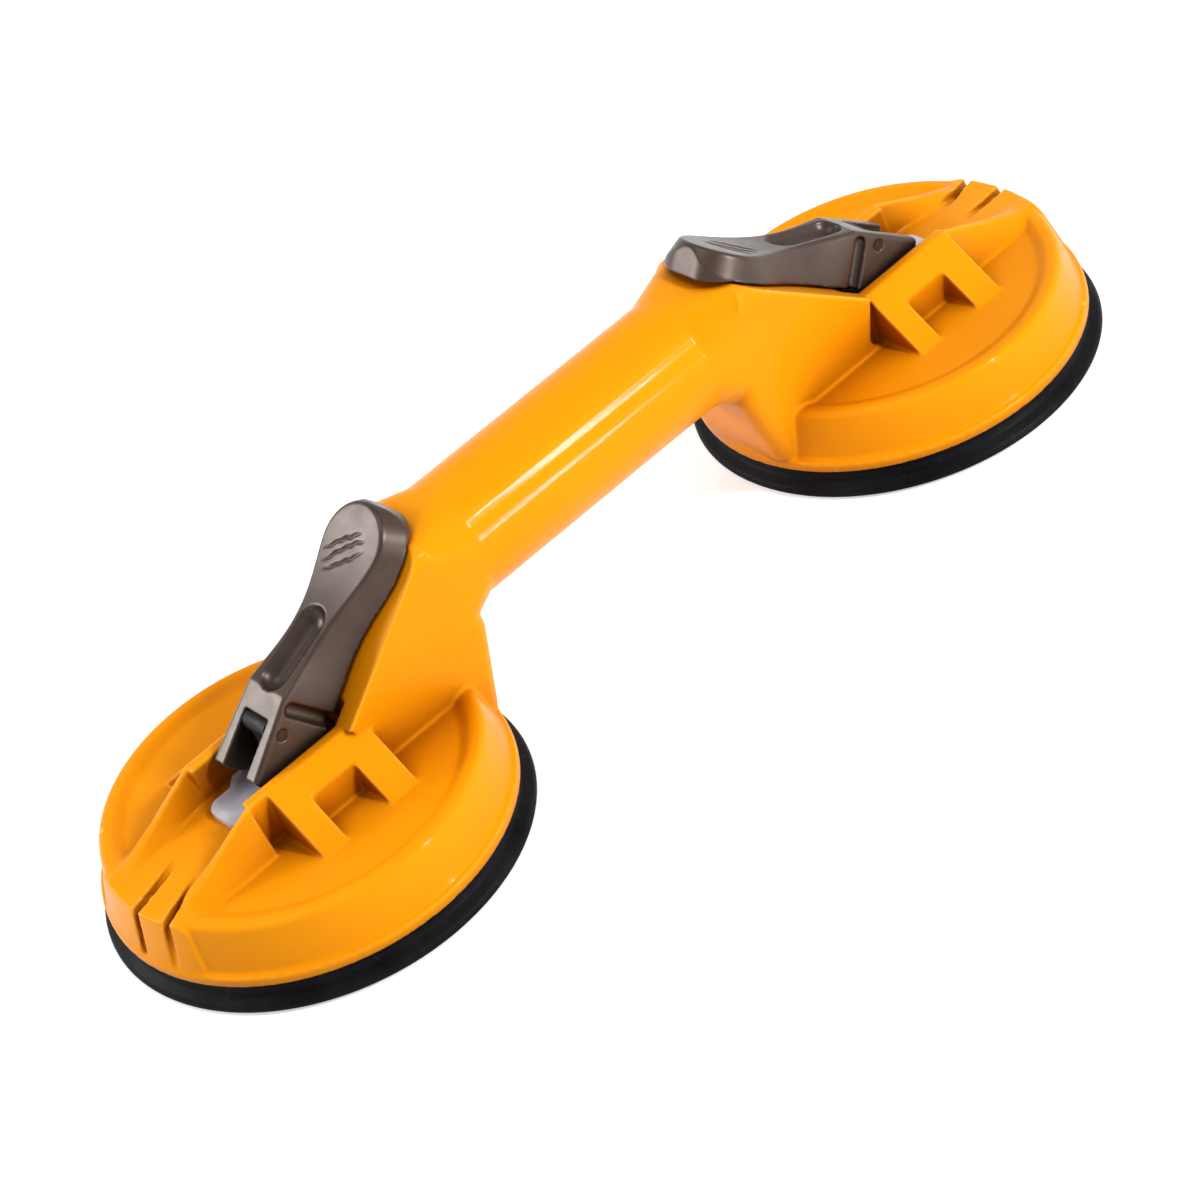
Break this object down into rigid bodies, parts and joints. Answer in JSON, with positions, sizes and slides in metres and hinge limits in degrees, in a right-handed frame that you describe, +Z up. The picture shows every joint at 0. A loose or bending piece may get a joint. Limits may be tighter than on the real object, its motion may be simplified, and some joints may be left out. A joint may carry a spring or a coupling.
{
  "type": "suction lifter",
  "caption": "Hand lifter for floor tiles: a cast bridge handle with a rubber suction cup and a cam lever at each end.",
  "frame": {"origin": "on the floor, midway between the two cups", "axes": "+X along the handle from the left cup to the right cup, +Z up, square to the tile"},
  "size_m": [0.3316, 0.1166, 0.0763],
  "materials": {
    "body_paint": "gloss orange enamel on a casting",
    "lever_black": "satin dark grey-brown, moulded",
    "rubber": "smooth black rubber",
    "steel": "turned steel",
    "zinc": "zinc-plated steel",
    "spring_steel": "drawn spring wire",
    "bronze": "sintered bronze",
    "wear_steel": "blued steel, rubbed by the cams"
  },
  "bodies": {
    "root": {"body_casting": "body_paint", "left_suction_cup": "rubber", "left_return_spring": "spring_steel", "left_spring_washer": "zinc", "left_guide_bush": "bronze", "left_wear_plate": "wear_steel", "right_suction_cup": "rubber", "right_return_spring": "spring_steel", "right_spring_washer": "zinc", "right_guide_bush": "bronze", "right_wear_plate": "wear_steel"},
    "left_stem": {"left_stem": "steel", "left_stem_nut": "zinc", "left_backing_plate": "zinc"},
    "left_lever": {"left_lever": "lever_black", "left_pivot_pin": "steel"},
    "right_stem": {"right_stem": "steel", "right_stem_nut": "zinc", "right_backing_plate": "zinc"},
    "right_lever": {"right_lever": "lever_black", "right_pivot_pin": "steel"}
  },
  "joints": [
    {"name": "left_stem_lift", "type": "slide", "parent": "root", "child": "left_stem", "axis": [0, 0, 1], "range_m": [-0.0022, 0], "deforming": ["left_suction_cup", "left_return_spring"]},
    {"name": "left_lever_turn", "type": "hinge", "parent": "left_stem", "child": "left_lever", "pos_m": [-0.1075, 0, 0.0428], "axis": [0, -1, 0], "range_deg": [0, 110]},
    {"name": "right_stem_lift", "type": "slide", "parent": "root", "child": "right_stem", "axis": [0, 0, 1], "range_m": [-0.0022, 0], "deforming": ["right_suction_cup", "right_return_spring"]},
    {"name": "right_lever_turn", "type": "hinge", "parent": "right_stem", "child": "right_lever", "pos_m": [0.1075, 0, 0.0428], "axis": [0, 1, 0], "range_deg": [0, 110]}
  ],
  "couplings": [
    {"joint": "left_lever_turn", "follows": "left_stem_lift", "rad_per_m": -872.66},
    {"joint": "right_lever_turn", "follows": "right_stem_lift", "rad_per_m": -872.66}
  ]
}
